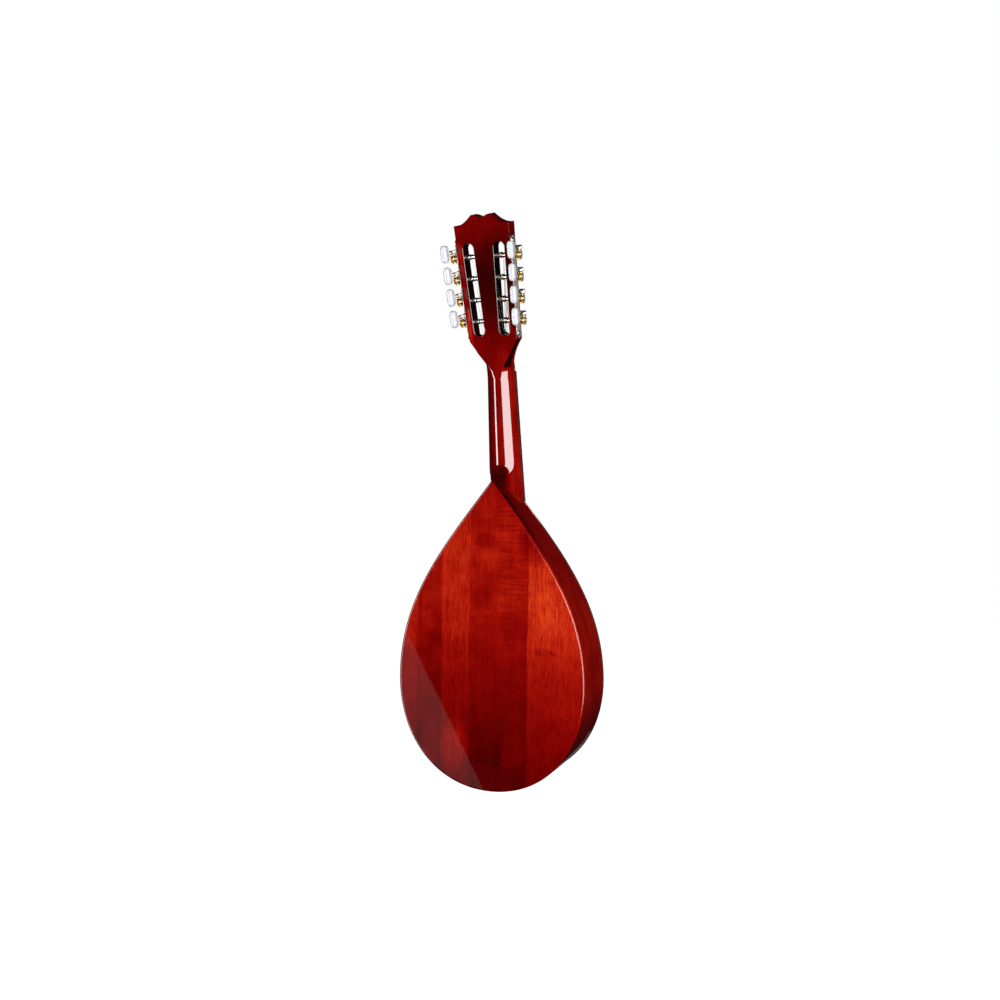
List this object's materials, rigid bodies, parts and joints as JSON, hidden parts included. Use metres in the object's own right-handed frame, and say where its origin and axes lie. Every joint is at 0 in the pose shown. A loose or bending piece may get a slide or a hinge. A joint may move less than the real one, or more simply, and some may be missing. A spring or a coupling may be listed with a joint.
{
  "type": "bouzouki",
  "caption": "Small flat-back bouzouki with a teardrop body, short neck, slotted head and two strips of geared tuning keys that turn their string rollers.",
  "frame": {"origin": "middle of the base of the whole object box, just under the tailpiece, standing upright on its tail", "axes": "+Z along the neck towards the head, -Y out of the soundboard and strings, +Y out of the back, +X towards the treble side"},
  "size_m": [0.2202, 0.0922, 0.6214],
  "materials": {
    "back_wood": "gloss red varnish over edge-glued maple strips",
    "rim_wood": "gloss dark red varnish",
    "neck_wood": "gloss dark red varnish",
    "top_wood": "gloss clear varnish over spruce",
    "inner_wood": "bare",
    "dark_wood": "oiled",
    "bone": "satin",
    "pearl": "white pearl",
    "nickel": "nickel plated",
    "gear_brass": "polished",
    "string_steel": "plain and wound steel"
  },
  "bodies": {
    "instrument": {"soundboard": "top_wood", "back_plate": "back_wood", "rim_treble": "rim_wood", "rim_bass": "rim_wood", "lining_front_treble": "inner_wood", "lining_back_treble": "inner_wood", "lining_front_bass": "inner_wood", "lining_back_bass": "inner_wood", "neck_block": "inner_wood", "tail_block": "inner_wood", "top_brace_upper": "inner_wood", "top_brace_lower": "inner_wood", "back_brace": "inner_wood", "neck": "neck_wood", "fretboard": "dark_wood", "nut": "bone", "bridge": "dark_wood", "tailpiece": "nickel", "string_1_bass": "string_steel", "string_2_bass": "string_steel", "string_3_bass": "string_steel", "string_4_bass": "string_steel", "string_5_treble": "string_steel", "string_6_treble": "string_steel", "string_7_treble": "string_steel", "string_8_treble": "string_steel", "tuner_plate_treble": "nickel", "tuner_plate_bass": "nickel"},
    "key_treble_1": {"button_treble_1": "pearl", "worm_shaft_treble_1": "nickel"},
    "roller_treble_1": {"gear_treble_1": "gear_brass", "post_treble_1": "nickel"},
    "key_treble_2": {"button_treble_2": "pearl", "worm_shaft_treble_2": "nickel"},
    "roller_treble_2": {"gear_treble_2": "gear_brass", "post_treble_2": "nickel"},
    "key_treble_3": {"button_treble_3": "pearl", "worm_shaft_treble_3": "nickel"},
    "roller_treble_3": {"gear_treble_3": "gear_brass", "post_treble_3": "nickel"},
    "key_treble_4": {"button_treble_4": "pearl", "worm_shaft_treble_4": "nickel"},
    "roller_treble_4": {"gear_treble_4": "gear_brass", "post_treble_4": "nickel"},
    "key_bass_1": {"button_bass_1": "pearl", "worm_shaft_bass_1": "nickel"},
    "roller_bass_1": {"gear_bass_1": "gear_brass", "post_bass_1": "nickel"},
    "key_bass_2": {"button_bass_2": "pearl", "worm_shaft_bass_2": "nickel"},
    "roller_bass_2": {"gear_bass_2": "gear_brass", "post_bass_2": "nickel"},
    "key_bass_3": {"button_bass_3": "pearl", "worm_shaft_bass_3": "nickel"},
    "roller_bass_3": {"gear_bass_3": "gear_brass", "post_bass_3": "nickel"},
    "key_bass_4": {"button_bass_4": "pearl", "worm_shaft_bass_4": "nickel"},
    "roller_bass_4": {"gear_bass_4": "gear_brass", "post_bass_4": "nickel"}
  },
  "joints": [
    {"name": "key_treble_1_turn", "type": "hinge", "parent": "instrument", "child": "key_treble_1", "pos_m": [0.03592, 0.00654, 0.51523], "axis": [0, 0.9791, -0.2032], "continuous": true},
    {"name": "roller_treble_1_turn", "type": "hinge", "parent": "instrument", "child": "roller_treble_1", "pos_m": [0.02859, 0.00516, 0.50861], "axis": [0.9995, -0.0067, -0.0324], "continuous": true},
    {"name": "key_treble_2_turn", "type": "hinge", "parent": "instrument", "child": "key_treble_2", "pos_m": [0.03668, 0.01121, 0.53774], "axis": [0, 0.9791, -0.2032], "continuous": true},
    {"name": "roller_treble_2_turn", "type": "hinge", "parent": "instrument", "child": "roller_treble_2", "pos_m": [0.02935, 0.00983, 0.53112], "axis": [0.9995, -0.0067, -0.0324], "continuous": true},
    {"name": "key_treble_3_turn", "type": "hinge", "parent": "instrument", "child": "key_treble_3", "pos_m": [0.03744, 0.01588, 0.56025], "axis": [0, 0.9791, -0.2032], "continuous": true},
    {"name": "roller_treble_3_turn", "type": "hinge", "parent": "instrument", "child": "roller_treble_3", "pos_m": [0.03011, 0.0145, 0.55363], "axis": [0.9995, -0.0067, -0.0324], "continuous": true},
    {"name": "key_treble_4_turn", "type": "hinge", "parent": "instrument", "child": "key_treble_4", "pos_m": [0.0382, 0.02055, 0.58275], "axis": [0, 0.9791, -0.2032], "continuous": true},
    {"name": "roller_treble_4_turn", "type": "hinge", "parent": "instrument", "child": "roller_treble_4", "pos_m": [0.03087, 0.01917, 0.57613], "axis": [0.9995, -0.0067, -0.0324], "continuous": true},
    {"name": "key_bass_1_turn", "type": "hinge", "parent": "instrument", "child": "key_bass_1", "pos_m": [-0.03592, 0.00654, 0.51523], "axis": [0, 0.9791, -0.2032], "continuous": true},
    {"name": "roller_bass_1_turn", "type": "hinge", "parent": "instrument", "child": "roller_bass_1", "pos_m": [-0.02859, 0.00516, 0.50861], "axis": [-0.9995, -0.0067, -0.0324], "continuous": true},
    {"name": "key_bass_2_turn", "type": "hinge", "parent": "instrument", "child": "key_bass_2", "pos_m": [-0.03668, 0.01121, 0.53774], "axis": [0, 0.9791, -0.2032], "continuous": true},
    {"name": "roller_bass_2_turn", "type": "hinge", "parent": "instrument", "child": "roller_bass_2", "pos_m": [-0.02935, 0.00983, 0.53112], "axis": [-0.9995, -0.0067, -0.0324], "continuous": true},
    {"name": "key_bass_3_turn", "type": "hinge", "parent": "instrument", "child": "key_bass_3", "pos_m": [-0.03744, 0.01588, 0.56025], "axis": [0, 0.9791, -0.2032], "continuous": true},
    {"name": "roller_bass_3_turn", "type": "hinge", "parent": "instrument", "child": "roller_bass_3", "pos_m": [-0.03011, 0.0145, 0.55363], "axis": [-0.9995, -0.0067, -0.0324], "continuous": true},
    {"name": "key_bass_4_turn", "type": "hinge", "parent": "instrument", "child": "key_bass_4", "pos_m": [-0.0382, 0.02055, 0.58275], "axis": [0, 0.9791, -0.2032], "continuous": true},
    {"name": "roller_bass_4_turn", "type": "hinge", "parent": "instrument", "child": "roller_bass_4", "pos_m": [-0.03087, 0.01917, 0.57613], "axis": [-0.9995, -0.0067, -0.0324], "continuous": true}
  ],
  "couplings": [
    {"joint": "roller_treble_1_turn", "follows": "key_treble_1_turn", "ratio": 0.071429},
    {"joint": "roller_treble_2_turn", "follows": "key_treble_2_turn", "ratio": 0.071429},
    {"joint": "roller_treble_3_turn", "follows": "key_treble_3_turn", "ratio": 0.071429},
    {"joint": "roller_treble_4_turn", "follows": "key_treble_4_turn", "ratio": 0.071429},
    {"joint": "roller_bass_1_turn", "follows": "key_bass_1_turn", "ratio": 0.071429},
    {"joint": "roller_bass_2_turn", "follows": "key_bass_2_turn", "ratio": 0.071429},
    {"joint": "roller_bass_3_turn", "follows": "key_bass_3_turn", "ratio": 0.071429},
    {"joint": "roller_bass_4_turn", "follows": "key_bass_4_turn", "ratio": 0.071429}
  ]
}
